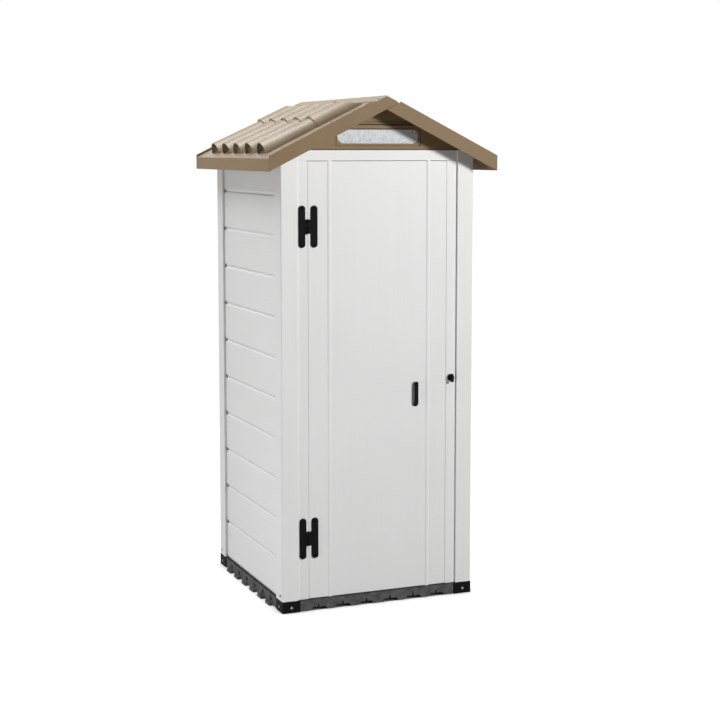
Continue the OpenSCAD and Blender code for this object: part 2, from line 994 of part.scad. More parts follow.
// Board of a gable fascia on the left slope; the long one laps over the ridge
module fascia_board(long) {
    low = eave_z + fascia_proud - fascia_h;
    near = ridge_half + fascia_notch;
    function low_z(x) = low + slope * (x + roof_half);
    function roof_z(x) = eave_z + slope * (x + roof_half);
    ridge_end = long ? [
        [ridge_half, low_z(ridge_half)],
        [ridge_half, roof_z(-ridge_half)],
        [0, roof_z(0)]
    ] : [
        [-fit, low_z(0) - fit],
        [-ridge_half - fit, low_z(ridge_half) - fit],
        [-ridge_half - fit, roof_z(-ridge_half - fit)]
    ];
    polygon(concat(
        [[-roof_half, low]],
        ridge_end,
        [
            [-near, roof_z(-near)],
            [-near, roof_z(-near) + fascia_proud],
            [-roof_half, eave_z + fascia_proud]
        ]
    ));
}

// A gable fascia on the left slope with its flange under the panel; it faces -Y
module gable_fascia(long) {
    face = -roof_depth;
    drop = sheet_drop + fit;
    start = fascia_t + fascia_flange + fit;
    color(taupe) {
        plate_xz(face, face + fascia_t)
        fascia_board(long);
        plate_xz(face + fascia_t - eps, face + fascia_t + fascia_flange)
        polygon([
            [-roof_half + start, eave_z + slope * start - drop - skin],
            [-ridge_half, apex_z - slope * ridge_half - drop - skin],
            [-ridge_half, apex_z - slope * ridge_half - drop],
            [-roof_half + start, eave_z + slope * start - drop]
        ]);
    }
}

// Board under the edge of the roof sheet, with a flange that follows the slope
module eave_fascia() {
    low = eave_z + fascia_proud - fascia_h;
    reach = roof_depth - fascia_t - fit;
    drop = sheet_drop + fit;
    tip = fascia_t + fascia_flange;
    color(taupe)
    plate_xz(-reach, reach)
    polygon([
        [-roof_half, low],
        [-roof_half + fascia_t, low],
        [-roof_half + fascia_t, eave_z + slope * fascia_t - drop - skin],
        [-roof_half + tip, eave_z + slope * tip - drop - skin],
        [-roof_half + tip, eave_z + slope * tip - drop],
        [-roof_half, eave_z - drop]
    ]);
}

// Hinges, drawn with the hinge axis as the Z axis through the origin

// Upright bar with round ends, on the wall face, centred at x
module hinge_bar(x) {
    straight = hinge_bar_h - hinge_bar_w;
    translate([x, hinge_stand, 0])
    rotate([90, 0, 0])
    linear_extrude(hinge_bar_t)
    union() {
        square([hinge_bar_w, straight], center = true);
        for (s = [-1, 1])
            translate([0, s * straight / 2])
            circle(hinge_bar_w / 2);
    }
}

// A leaf on the right of the axis, with its knuckle from z0 upwards and its screw holes
module hinge_leaf(z0, hole_r) {
    arm_end = hinge_bar_x - hinge_bar_w / 2 + eps;
    color(black)
    difference() {
        union() {
            hinge_bar(hinge_bar_x);
            translate([0, 0, z0])
            cylinder(r = knuckle_r, h = knuckle_h - fit / 2);
            translate([0, leaf_gap, z0])
            cube([arm_end, hinge_stand - leaf_gap, knuckle_h - fit / 2]);
            translate([knuckle_r + leaf_gap, hinge_stand - hinge_bar_t, -knuckle_h])
            cube([arm_end - knuckle_r - leaf_gap, hinge_bar_t, 2 * knuckle_h]);
        }
        translate([0, 0, -knuckle_h - eps])
        cylinder(r = hole_r, h = 2 * (knuckle_h + eps));
        hinge_screw_places()
        screw_hole();
    }
}

module hinge_screw_places() {
    for (s = [-1, 1])
        translate([hinge_bar_x, hinge_stand - hinge_bar_t, s * (hinge_bar_h - hinge_bar_w) / 2])
        rotate([90, 0, 0])
        children();
}

module at_hinge(z) {
    translate([hinge_x, hinge_y, z])
    children();
}

module hinge_frame_leaf(z) {
    at_hinge(z)
    mirror([1, 0, 0])
    hinge_leaf(-knuckle_h, pin_r);
}

module hinge_door_leaf(z) {
    at_hinge(z)
    translate([0, 0, fit / 2])
    hinge_leaf(0, pin_r + pin_gap);
}

module hinge_pin(z) {
    color(steel)
    at_hinge(z) {
        translate([0, 0, -knuckle_h])
        cylinder(r = pin_r, h = 2 * knuckle_h + pin_stand);
        translate([0, 0, knuckle_h + pin_stand])
        cylinder(r = pin_head_r, h = pin_head_h);
    }
}

module hinge_screws(lift) {
    color(black)
    for (z = [hinge_low_z, hinge_high_z])
        at_hinge(z + lift)
        hinge_screw_places()
        screw(hinge_bar_t);
}

module hinge_frame_screws() {
    translate([2 * hinge_x, 0, 0])
    mirror([1, 0, 0])
    hinge_screws(0);
}

// Door, drawn in its closed place

door_low = floor_h + door_gap;
door_high = door_top - door_top_gap;

// A hollow upright panel of the door from x0 to x1
module door_panel(x0, x1) {
    cells = round((x1 - x0) / door_cell);
    cell_w = (x1 - x0 - skin) / cells;
    translate([0, 0, door_low + door_cap])
    linear_extrude(door_high - door_low - 2 * door_cap)
    difference() {
        translate([x0, -wall_out])
        square([x1 - x0, wall_t]);
        for (i = [0:cells - 1])
            translate([x0 + skin + i * cell_w, -wall_out + skin])
            square([cell_w - skin, wall_t - 2 * skin]);
    }
}

// Half the web between two door panels, with the gap beside it
web_gap = skin / 2 + fit;

module door_panel_hinge_side() {
    color(white)
    door_panel(-door_half, -bead_x - web_gap);
}

module door_panel_centre() {
    color(white)
    door_panel(-bead_x + web_gap, bead_x - web_gap);
}

module door_panel_lock_side() {
    color(white)
    difference() {
        door_panel(bead_x + web_gap, door_half);
        cam_slot(door_half - skin - eps, door_half + eps);
    }
}

// The joining profile of two door panels: a bead outside, a web and a flat flange inside
module door_bead(x) {
    color(white) {
        translate([x, 0, door_low])
        linear_extrude(door_high - door_low)
        bead_outline();
        translate([x, 0, door_low + door_cap])
        linear_extrude(door_high - door_low - 2 * door_cap) {
            translate([-skin / 2, -wall_out - eps])
            square([skin, wall_t + 2 * eps]);
            translate([-bead_w / 2, -wall_in])
            square([bead_w, skin]);
        }
    }
}

// Rounded section of a bead on the face of the door
module bead_outline() {
    r = arc_r(bead_w, bead_h);
    intersection() {
        translate([0, -wall_out - bead_h + r])
        circle(r, $fn = 96);
        translate([-bead_w / 2, -wall_out - bead_h - eps])
        square([bead_w, bead_h + eps]);
    }
}

module door_cap_plate(z) {
    color(white)
    translate([-door_half, -wall_out, z])
    cube([2 * door_half, wall_t, door_cap]);
}

module door_handle() {
    bow_y = -wall_out - handle_reach;
    end_z = handle_h / 2;
    inner_z = end_z - handle_foot_h;
    color(black)
    translate([handle_x - handle_w / 2, 0, handle_z])
    rotate([90, 0, 90])
    linear_extrude(handle_w)
    polygon([
        [-wall_out, -end_z],
        [bow_y + handle_bevel, handle_slant / 2 - end_z],
        [bow_y, handle_slant - end_z],
        [bow_y, end_z - handle_bevel],
        [bow_y + handle_bevel, end_z],
        [-wall_out, end_z],
        [-wall_out, inner_z],
        [bow_y + handle_grip_t, inner_z],
        [bow_y + handle_grip_t, handle_slant / 2 - inner_z],
        [-wall_out, -inner_z]
    ]);
}

// Lock, on the right-hand jamb

module lock_rosette() {
    sleeve_end = skin + sleeve_reach;
    color(steel)
    translate([lock_x, -wall_out, lock_z])
    rotate([90, 0, 0])
    difference() {
        union() {
            cylinder(r = rosette_r, h = rosette_t);
            translate([0, 0, -sleeve_end])
            cylinder(r = spindle_r + sleeve_wall, h = sleeve_end + eps);
        }
        translate([0, 0, -sleeve_end - eps])
        cylinder(r = spindle_r + pin_gap, h = sleeve_end + rosette_t + 2 * eps);
    }
}

// A round hub with an upright grip of two lobes
module lock_knob() {
    hub_z = rosette_t + fit;
    cam_face = (wall_t - cam_t) / 2;
    lobe_z = (hub_z + knob_reach) / 2;
    color(black)
    translate([lock_x, -wall_out, lock_z])
    rotate([90, 0, 0]) {
        translate([0, 0, -cam_face])
        cylinder(r = spindle_r, h = cam_face + hub_z + eps);
        translate([0, 0, hub_z])
        cylinder(r = knob_r, h = lobe_z - hub_z + eps);
        for (s = [-1, 1])
            translate([0, s * (knob_lobe - knob_lobe_t / 2), lobe_z])
            cylinder(r = knob_lobe_t / 2, h = knob_reach - lobe_z);
        translate([-knob_lobe_t / 2, knob_lobe_t / 2 - knob_lobe, lobe_z])
        cube([knob_lobe_t, 2 * knob_lobe - knob_lobe_t, knob_reach - lobe_z]);
    }
}

module lock_cam() {
    color(steel)
    translate([lock_x, cam_y + cam_t / 2, lock_z])
    rotate([90, 0, 0])
    linear_extrude(cam_t)
    union() {
        circle(cam_hub_r);
        translate([-cam_w / 2, 0])
        square([cam_w, cam_len - cam_w / 2]);
        translate([0, cam_len - cam_w / 2])
        circle(cam_w / 2);
    }
}

corner(-1, -1) floor_tile(true, false);  // floor_tile_front_left
corner(1, -1) floor_tile(false, false);  // floor_tile_front_right
corner(-1, 1) floor_tile(true, true);  // floor_tile_rear_left
corner(1, 1) floor_tile(false, true);  // floor_tile_rear_right
corner(-1, -1) corner_foot();  // corner_foot_front_left
corner(1, -1) corner_foot();  // corner_foot_front_right
corner(-1, 1) corner_foot();  // corner_foot_rear_left
corner(1, 1) corner_foot();  // corner_foot_rear_right
foot_screws();
corner(-1, -1) corner_post();  // corner_post_front_left
corner(1, -1) corner_post();  // corner_post_front_right
corner(-1, 1) corner_post();  // corner_post_rear_left
corner(1, 1) corner_post();  // corner_post_rear_right
post_screws();
mirror([1, 0, 0]) wall_of_boards();  // left_wall_boards
wall_of_boards();  // right_wall_boards
rotate([0, 0, 90]) wall_of_boards();  // rear_wall_boards
mirror([1, 0, 0]) wall_top_rail();  // wall_top_rail_left
wall_top_rail();  // wall_top_rail_right
door_jamb(-1);  // door_jamb_left
door_jamb(1);  // door_jamb_right
door_header();
gable_panel_front();
gable_panel_rear();
window_surround();
window_pane();
ridge_beam();
roof_panel();  // roof_panel_left
mirror([1, 0, 0]) roof_panel();  // roof_panel_right
ridge_cap();
gable_fascia(true);  // gable_fascia_front_left
mirror([1, 0, 0]) gable_fascia(false);  // gable_fascia_front_right
mirror([0, 1, 0]) gable_fascia(false);  // gable_fascia_rear_left
rotate([0, 0, 180]) gable_fascia(true);  // gable_fascia_rear_right
eave_fascia();  // eave_fascia_left
mirror([1, 0, 0]) eave_fascia();  // eave_fascia_right
roof_screws();
hinge_frame_leaf(hinge_high_z);  // hinge_frame_leaf_upper
hinge_frame_leaf(hinge_low_z);  // hinge_frame_leaf_lower
hinge_pin(hinge_high_z);  // hinge_pin_upper
hinge_pin(hinge_low_z);  // hinge_pin_lower
hinge_frame_screws();
lock_rosette();
lock_knob();
lock_cam();
door_panel_hinge_side();
door_panel_centre();
door_panel_lock_side();
door_bead(-bead_x);  // door_bead_left
door_bead(bead_x);  // door_bead_right
door_cap_plate(door_high - door_cap);  // door_cap_top
door_cap_plate(door_low);  // door_cap_bottom
hinge_door_leaf(hinge_high_z);  // hinge_door_leaf_upper
hinge_door_leaf(hinge_low_z);  // hinge_door_leaf_lower
hinge_screws(fit / 2);  // hinge_door_screws
door_handle();
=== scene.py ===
"""Looks of a narrow resin tool shed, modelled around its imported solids. Metres, +Z up, front towards -Y."""

import json
import math

import bpy
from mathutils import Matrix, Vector

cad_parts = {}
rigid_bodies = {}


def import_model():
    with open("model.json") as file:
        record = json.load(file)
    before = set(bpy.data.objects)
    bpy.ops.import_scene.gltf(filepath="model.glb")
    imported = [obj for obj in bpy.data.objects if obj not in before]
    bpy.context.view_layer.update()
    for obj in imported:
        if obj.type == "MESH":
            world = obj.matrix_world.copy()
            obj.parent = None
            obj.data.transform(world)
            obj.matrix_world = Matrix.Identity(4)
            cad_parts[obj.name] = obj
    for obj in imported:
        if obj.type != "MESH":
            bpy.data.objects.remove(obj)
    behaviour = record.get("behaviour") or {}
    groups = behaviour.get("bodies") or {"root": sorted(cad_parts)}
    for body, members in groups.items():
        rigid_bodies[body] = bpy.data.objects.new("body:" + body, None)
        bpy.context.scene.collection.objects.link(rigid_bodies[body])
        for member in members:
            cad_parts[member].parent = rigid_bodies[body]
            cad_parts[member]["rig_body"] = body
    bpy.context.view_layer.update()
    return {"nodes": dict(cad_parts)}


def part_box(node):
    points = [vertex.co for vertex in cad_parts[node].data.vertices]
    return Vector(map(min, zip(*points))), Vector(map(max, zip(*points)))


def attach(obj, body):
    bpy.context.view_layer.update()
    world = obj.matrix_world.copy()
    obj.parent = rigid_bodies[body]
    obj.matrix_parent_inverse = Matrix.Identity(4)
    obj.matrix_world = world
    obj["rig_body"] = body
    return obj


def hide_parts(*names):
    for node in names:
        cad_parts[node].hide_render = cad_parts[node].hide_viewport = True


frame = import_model()
NODES = frame["nodes"]

MM = 0.001
ALONG_X, ALONG_Y, ALONG_Z = 0, 1, 2
# A corner this close to a plane lies in it, and corners this close to each other are one
TINY = 0.05 * MM
WELD = 0.01 * MM
# A face looks along an axis where its normal has this share along it, less of it in the sloping grooves
# of the boards and on the slopes of the roof
FACING = 0.9
GROOVE_FACING = 0.5
SLOPE_FACING = 0.85
# Degrees: triangles flatter than this are one face, and roundings are smooth this far past their limit
FLAT_ANGLE = 0.5
SMOOTH_MARGIN = 5
# How strongly the large faces lead the shading where they meet small ones, out of 100
FLAT_LEAD = 100

# Camera, found from the photograph: place, turn from +Y towards +X, dip, focal length and picture shift.
# Places in this section are metres, angles radians.
IMAGE_SIZE = 720
CAMERA_PLACE = Vector((-2.3833, -6.0204, 1.8138))
CAMERA_TURN = 0.38930
CAMERA_DIP = 0.10261
FOCAL_PIXELS = 1552.5
PICTURE_SHIFT = -0.07
SENSOR = 36.0
VIEW_REACH = 100.0

# Key light: the shadows on the gable give its direction, the fade down the door its distance
KEY_SIDE = math.radians(32)
KEY_RISE = math.radians(12)
KEY_REACH = 6.0
KEY_AIM = Vector((0, -0.41, 1.87))
KEY_PLACE = KEY_AIM + KEY_REACH * Vector((math.sin(KEY_SIDE), -math.cos(KEY_SIDE), math.tan(KEY_RISE)))
KEY_FACING = Vector((-4.0, -2.6, 1.87))
KEY_SIZE = 1.1
KEY_POWER = 395
# The other softboxes lift the roof, the foot of the left wall, and the rear and right walls
TOP_PLACE = Vector((-1.3, 0.6, 4.2))
TOP_AIM = Vector((-0.3, 0, 1.9))
TOP_SIZE = 2.0
TOP_POWER = 100
SIDE_PLACE = Vector((-3.0, -0.7, 0.25))
SIDE_AIM = Vector((-0.4, -0.1, -0.1))
SIDE_SIZE = 1.6
SIDE_POWER = 48
BACK_PLACE = Vector((2.9, 3.3, 1.15))
BACK_AIM = Vector((0.1, 0, 1.0))
BACK_SIZE = 2.0
BACK_POWER = 100
AIR_LEVEL = 0.02
# Ground: its size and depth under the feet, half the width that stays dark, and the reach of the contact
# shade painted into its glow
GROUND_SIZE = 60.0
GROUND_DROP = 0.5 * MM
UNDER_SHED = 0.405
CONTACT_REACH = 0.05


# Selection and edit mode

def deselect():
    """Leaves edit mode and clears the selection."""
    if bpy.context.object and bpy.context.object.mode != "OBJECT":
        bpy.ops.object.mode_set(mode="OBJECT")
    bpy.ops.object.select_all(action="DESELECT")


def pick(piece):
    """Makes one piece the only selected and active object."""
    deselect()
    piece.select_set(True)
    bpy.context.view_layer.objects.active = piece


def edit_some(piece, kind, wanted):
    """Enters edit mode with only those faces or corners selected that pass the test."""
    pick(piece)
    bpy.ops.object.mode_set(mode="EDIT")
    bpy.ops.mesh.select_mode(type=kind)
    bpy.ops.mesh.select_all(action="DESELECT")
    bpy.ops.object.mode_set(mode="OBJECT")
    parts = {"FACE": piece.data.polygons, "VERT": piece.data.vertices}[kind]
    for part in parts:
        part.select = wanted(part)
    bpy.ops.object.mode_set(mode="EDIT")


def edit_faces(piece, wanted):
    """Enters edit mode with the faces selected whose centre and normal pass the test."""
    edit_some(piece, "FACE", lambda face: wanted(face.center, face.normal))


def edit_all(piece):
    """Enters edit mode with everything selected."""
    pick(piece)
    bpy.ops.object.mode_set(mode="EDIT")
    bpy.ops.mesh.select_mode(type="VERT")
    bpy.ops.mesh.select_all(action="SELECT")


def leave_edit():
    """Back to object mode, which writes the edit into the mesh."""
    bpy.ops.object.mode_set(mode="OBJECT")


def on_axis(axis, length):
    """A vector of a length along X, Y or Z."""
    vector = Vector((0, 0, 0))
    vector[axis] = length
    return vector


def cut_at(piece, axis, places):
    """Cuts edge loops into a piece across an axis."""
    for place in places:
        edit_all(piece)
        bpy.ops.mesh.bisect(plane_co=on_axis(axis, place), plane_no=on_axis(axis, 1))
        leave_edit()


def move_corners(piece, wanted, shift):
    """Moves the corners of a mesh that pass the test."""
    edit_some(piece, "VERT", lambda corner: wanted(corner.co))
    bpy.ops.transform.translate(value=shift)
    leave_edit()


def push_faces(piece, wanted, shift):
    """Pushes the faces that pass the test along, with new walls round them."""
    edit_faces(piece, wanted)
    bpy.ops.mesh.extrude_region_move(TRANSFORM_OT_translate={"value": shift})
    leave_edit()


def apply_place(piece):
    """Moves the object's place, turn and size into its mesh."""
    pick(piece)
    bpy.ops.object.transform_apply(location=True, rotation=True, scale=True)


def apply_modifier(piece, kind, **settings):
    """Adds one modifier with its settings and applies it."""
    pick(piece)
    made = piece.modifiers.new(kind.title(), kind)
    for name, value in settings.items():
        setattr(made, name, value)
    bpy.ops.object.modifier_apply(modifier=made.name)


def round_edges(piece, width, segments=2, angle=30):
    """Rounds every edge sharper than an angle and shades the roundings smooth, with the flats left flat."""
    apply_modifier(
        piece, "BEVEL", width=width, segments=segments, limit_method="ANGLE",
        angle_limit=math.radians(angle), harden_normals=False, use_clamp_overlap=True,
    )
    pick(piece)
    bpy.ops.object.shade_smooth_by_angle(angle=math.radians(angle + SMOOTH_MARGIN))
    apply_modifier(piece, "WEIGHTED_NORMAL", keep_sharp=True, weight=FLAT_LEAD)


# Starting shapes

def start_box(name, low, high):
    """A block between two corners."""
    deselect()
    low, high = Vector(low), Vector(high)
    bpy.ops.mesh.primitive_cube_add(size=1, location=(low + high) / 2)
    piece = bpy.context.object
    piece.name = piece.data.name = name
    piece.scale = high - low
    apply_place(piece)
    return piece


def start_bar(name, radius, length, sides):
    """An upright round bar round the middle of the frame."""
    deselect()
    bpy.ops.mesh.primitive_cylinder_add(radius=radius, depth=length, vertices=sides)
    piece = bpy.context.object
    piece.name = piece.data.name = name
    return piece


def merged_copy(node):
    """The solid of a CAD node as a mesh of its own, without the node's tags and with its loose triangles
    merged."""
    deselect()
    source = NODES[node]
    piece = source.copy()
    piece.data = source.data.copy()
    piece.parent = None
    for key in list(piece.keys()):
        del piece[key]
    bpy.context.scene.collection.objects.link(piece)
    piece.name = piece.data.name = node + "_moulded"
    edit_all(piece)
    bpy.ops.mesh.remove_doubles(threshold=WELD)
    leave_edit()
    return piece


def merge_flats(piece):
    """Makes one face of the triangles that lie in one plane."""
    edit_all(piece)
    bpy.ops.mesh.dissolve_limited(angle_limit=math.radians(FLAT_ANGLE))
    leave_edit()


def plain_copy(node):
    """The solid of a CAD node as a mesh of whole flat faces."""
    piece = merged_copy(node)
    merge_flats(piece)
    return piece


def eased_copy(node, width, segments=2):
    """The same copy with its edges rounded as they leave the mould."""
    piece = plain_copy(node)
    round_edges(piece, width, segments)
    return piece


def join(pieces, name):
    """Makes one object of several."""
    pick(pieces[0])
    for piece in pieces[1:]:
        piece.select_set(True)
    bpy.ops.object.join()
    pieces[0].name = pieces[0].data.name = name
    return pieces[0]


def copy_to(piece, place):
    """Another piece with its own mesh, moved to a place."""
    pick(piece)
    bpy.ops.object.duplicate()
    twin = bpy.context.object
    twin.location = place
    apply_place(twin)
    return twin


def stands_for(piece, node, material):
    """The piece takes a finish, rides on its node's body and stands for the node."""
    piece.data.materials.clear()
    piece.data.materials.append(material)
    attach(piece, NODES[node]["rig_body"])
    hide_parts(node)


# Materials

# Spacing of each pattern on its surface. Draw lines, peel, mould grain and swirl are finer than this on
# the real pieces, and are drawn as coarse as they need to show.
DRAW_LINE = 6 * MM
DRAW_RUN = 900 * MM
TONE_DRIFT = 350 * MM
ORANGE_PEEL = 4 * MM
PIGMENT_CLOUD = 90 * MM
FLOOR_MOTTLE = 22 * MM
FLOOR_PORE = 5 * MM
PANE_FLECK = 8 * MM
PANE_CHIP = 12 * MM
STEEL_SWIRL = 0.8 * MM


def linear(hex_colour):
    """A shader colour from an sRGB hex value."""
    parts = [int(hex_colour[i:i + 2], 16) / 255 for i in (1, 3, 5)]
    return [c / 12.92 if c <= 0.04045 else ((c + 0.055) / 1.055) ** 2.4 for c in parts] + [1.0]


def add_node(tree, kind, inputs=None, stops=None, **settings):
    """Adds a shader node with its settings and colour stops, and fills its inputs with values or links."""
    made = tree.nodes.new(kind)
    for name, value in settings.items():
        setattr(made, name, value)
    if stops:
        elements = made.color_ramp.elements
        while len(elements) < len(stops):
            elements.new(1.0)
        for element, (position, colour) in zip(elements, stops):
            element.position = position
            element.color = linear(colour)
    for name, value in (inputs or {}).items():
        if isinstance(value, bpy.types.NodeSocket):
            tree.links.new(value, made.inputs[name])
        else:
            made.inputs[name].default_value = value
    return made


def new_material(name, shader_values):
    """A material with its shader, and the object coordinates that its patterns read."""
    material = bpy.data.materials.new(name)
    material.use_nodes = True
    tree = material.node_tree
    shader = tree.nodes["Principled BSDF"]
    for socket, value in shader_values.items():
        shader.inputs[socket].default_value = value
    place = add_node(tree, "ShaderNodeTexCoord").outputs["Object"]
    return material, tree, shader, place


def connect(tree, shader, sources):
    """Links the outputs of a pattern to the shader's inputs."""
    for name, source in sources.items():
        tree.links.new(source, shader.inputs[name])


def extruded_resin(name, along):
    """White PVC resin, extruded and satin: faint draw lines along the profile, a slow drift of tone
    and the shallow orange peel that the cooled skin keeps."""
    material, tree, shader, place = new_material(
        name, {"Roughness": 0.42, "IOR": 1.53, "Specular IOR Level": 0.42},
    )
    draw_scale = [1 / DRAW_LINE] * 3
    draw_scale[along] = 1 / DRAW_RUN
    drawn = add_node(tree, "ShaderNodeMapping", {"Vector": place, "Scale": draw_scale}).outputs["Vector"]
    draw = add_node(
        tree, "ShaderNodeTexNoise", {"Vector": drawn, "Scale": 1.0, "Detail": 3.0},
    ).outputs["Fac"]
    drift = add_node(
        tree, "ShaderNodeTexNoise", {"Vector": place, "Scale": 1 / TONE_DRIFT, "Detail": 2.0},
    ).outputs["Fac"]
    peel = add_node(
        tree, "ShaderNodeTexNoise", {"Vector": place, "Scale": 1 / ORANGE_PEEL, "Detail": 1.0},
    ).outputs["Fac"]
    mixed = add_node(tree, "ShaderNodeMath", {0: draw, 1: drift}, operation="MULTIPLY").outputs["Value"]
    colour = add_node(
        tree, "ShaderNodeValToRGB", {"Fac": mixed}, stops=[(0.1, "#EBEBEA"), (0.4, "#EFEFEE")],
    ).outputs["Color"]
    sheen = add_node(
        tree, "ShaderNodeMapRange", {"Value": draw, "To Min": 0.41, "To Max": 0.45},
    ).outputs["Result"]
    lines = add_node(
        tree, "ShaderNodeBump", {"Height": draw, "Distance": 0.012 * MM},
    ).outputs["Normal"]
    skin = add_node(
        tree, "ShaderNodeBump", {"Height": peel, "Distance": 0.04 * MM, "Normal": lines},
    ).outputs["Normal"]
    connect(tree, shader, {"Base Color": colour, "Roughness": sheen, "Normal": skin})
    return material


def moulded_resin(name, dark, light, roughness, grain, depth, gloss):
    """Pigmented resin from a grained mould: cloudy pigment, a fine leather grain and a dull satin skin.
    The spacing and the depth of the grain are lengths."""
    material, tree, shader, place = new_material(
        name, {"Roughness": roughness, "IOR": 1.5, "Specular IOR Level": gloss},
    )
    cloud = add_node(
        tree, "ShaderNodeTexNoise", {"Vector": place, "Scale": 1 / PIGMENT_CLOUD, "Detail": 4.0},
    ).outputs["Fac"]
    leather = add_node(
        tree, "ShaderNodeTexNoise", {"Vector": place, "Scale": 1 / grain, "Detail": 2.0},
    ).outputs["Fac"]
    mixed = add_node(tree, "ShaderNodeMath", {0: cloud, 1: leather}, operation="MULTIPLY").outputs["Value"]
    colour = add_node(
        tree, "ShaderNodeValToRGB", {"Fac": mixed}, stops=[(0.1, dark), (0.42, light)],
    ).outputs["Color"]
    sheen = add_node(
        tree, "ShaderNodeMapRange",
        {"Value": cloud, "To Min": roughness - 0.05, "To Max": roughness + 0.08},
    ).outputs["Result"]
    skin = add_node(tree, "ShaderNodeBump", {"Height": leather, "Distance": depth}).outputs["Normal"]
    connect(tree, shader, {"Base Color": colour, "Roughness": sheen, "Normal": skin})
    return material


def recycled_resin():
    """Recycled polypropylene of the floor tiles: coarse, mottled dark grey with pale scuffs and pores."""
    material, tree, shader, place = new_material(
        "recycled_polypropylene", {"Roughness": 0.7, "IOR": 1.49, "Specular IOR Level": 0.2},
    )
    mottle = add_node(
        tree, "ShaderNodeTexNoise", {"Vector": place, "Scale": 1 / FLOOR_MOTTLE, "Detail": 5.0},
    ).outputs["Fac"]
    pores = add_node(
        tree, "ShaderNodeTexVoronoi", {"Vector": place, "Scale": 1 / FLOOR_PORE},
    ).outputs["Distance"]
    colour = add_node(
        tree, "ShaderNodeValToRGB", {"Fac": mottle},
        stops=[(0.3, "#444444"), (0.45, "#505050"), (0.6, "#5D5D5C"), (0.78, "#6E6E6C")],
    ).outputs["Color"]
    sheen = add_node(
        tree, "ShaderNodeMapRange", {"Value": mottle, "To Min": 0.6, "To Max": 0.85},
    ).outputs["Result"]
    lumps = add_node(tree, "ShaderNodeBump", {"Height": mottle, "Distance": 0.5 * MM}).outputs["Normal"]
    pitted = add_node(
        tree, "ShaderNodeBump", {"Height": pores, "Distance": 0.25 * MM, "Normal": lumps},
    ).outputs["Normal"]
    connect(tree, shader, {"Base Color": colour, "Roughness": sheen, "Normal": pitted})
    return material


def speckled_acrylic():
    """Cast acrylic window, pressed with a glue-chip texture: milky sheet, grey flecks, glossy ripple."""
    material, tree, shader, place = new_material(
        "glue_chip_acrylic", {"Roughness": 0.45, "IOR": 1.49, "Specular IOR Level": 0.3},
    )
    flecks = add_node(
        tree, "ShaderNodeTexNoise",
        {"Vector": place, "Scale": 1 / PANE_FLECK, "Detail": 4.0, "Roughness": 0.8},
    ).outputs["Fac"]
    chips = add_node(
        tree, "ShaderNodeTexVoronoi", {"Vector": place, "Scale": 1 / PANE_CHIP},
    ).outputs["Distance"]
    colour = add_node(
        tree, "ShaderNodeValToRGB", {"Fac": flecks},
        stops=[(0.3, "#64696C"), (0.37, "#C2C6C9"), (0.48, "#CFD3D6"), (0.66, "#E3E6E8")],
    ).outputs["Color"]
    ripple = add_node(tree, "ShaderNodeBump", {"Height": flecks, "Distance": 0.6 * MM}).outputs["Normal"]
    chipped = add_node(
        tree, "ShaderNodeBump", {"Height": chips, "Distance": 0.5 * MM, "Normal": ripple},
    ).outputs["Normal"]
    connect(tree, shader, {"Base Color": colour, "Normal": chipped})
    return material


def plated_steel(name, dark, light, roughness):
    """Bright zinc or nickel plate on pressed steel, with a faint brushed swirl."""
    material, tree, shader, place = new_material(name, {"Metallic": 1.0, "Roughness": roughness})
    swirl = add_node(
        tree, "ShaderNodeTexNoise", {"Vector": place, "Scale": 1 / STEEL_SWIRL, "Detail": 3.0},
    ).outputs["Fac"]
    colour = add_node(
        tree, "ShaderNodeValToRGB", {"Fac": swirl}, stops=[(0.3, dark), (0.7, light)],
    ).outputs["Color"]
    sheen = add_node(
        tree, "ShaderNodeMapRange",
        {"Value": swirl, "To Min": roughness - 0.08, "To Max": roughness + 0.12},
    ).outputs["Result"]
    brushed = add_node(tree, "ShaderNodeBump", {"Height": swirl, "Distance": 0.03 * MM}).outputs["Normal"]
    connect(tree, shader, {"Base Color": colour, "Roughness": sheen, "Normal": brushed})
    return material


WHITE_LEVEL_X = extruded_resin("white_pvc_drawn_across", ALONG_X)
WHITE_LEVEL_Y = extruded_resin("white_pvc_drawn_back", ALONG_Y)
WHITE_UPRIGHT = extruded_resin("white_pvc_drawn_upright", ALONG_Z)
TAUPE = moulded_resin(
    "taupe_asa_moulded", "#846D4F", "#8E7858",
    roughness=0.5, grain=1.5 * MM, depth=0.08 * MM, gloss=0.2,
)
# Roof taupe: the fascias' taupe painted lighter and greyer, a painted sheen and top light on the slopes
ROOF_TAUPE = moulded_resin(
    "taupe_abs_vacuum_formed_painted_sheen", "#87745B", "#958369",
    roughness=0.4, grain=1.5 * MM, depth=0.08 * MM, gloss=0.75,
)
BLACK = moulded_resin(
    "black_nylon_moulded", "#0E0E0E", "#161616",
    roughness=0.6, grain=1.0 * MM, depth=0.05 * MM, gloss=0.05,
)
FLOOR = recycled_resin()
PANE = speckled_acrylic()
ZINC = plated_steel("zinc_plated_steel", "#747472", "#A0A09D", roughness=0.38)
NICKEL = plated_steel("satin_nickel_plate", "#B9B9B7", "#DADAD8", roughness=0.28)


# Sizes that the pieces share, read from the frame

WALL_LOW, WALL_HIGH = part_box("right_wall_boards")
RAIL_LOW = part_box("wall_top_rail_right")[0]
BOARDS = 11
BOARD_FOOT = WALL_LOW.z
BOARD_PITCH = (RAIL_LOW.z - BOARD_FOOT) / BOARDS
POST_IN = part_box("corner_post_front_right")[0].x
DOOR_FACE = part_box("door_panel_centre")[0].y


# Walls, posts and door frame

# Joint of two boards: the gap, and how far its groove reaches over and under it and into the wall
BOARD_GAP = 0.2 * MM
GROOVE_UNDER = 9 * MM
GROOVE_OVER = 7 * MM
GROOVE_DEPTH = 4.5 * MM
# Beside a post, the notch at each joint and the seam between the joints
NOTCH_WIDE = 22 * MM
NOTCH_DEEP = 22 * MM
SEAM_WIDE = 7 * MM
SEAM_DEEP = 10 * MM
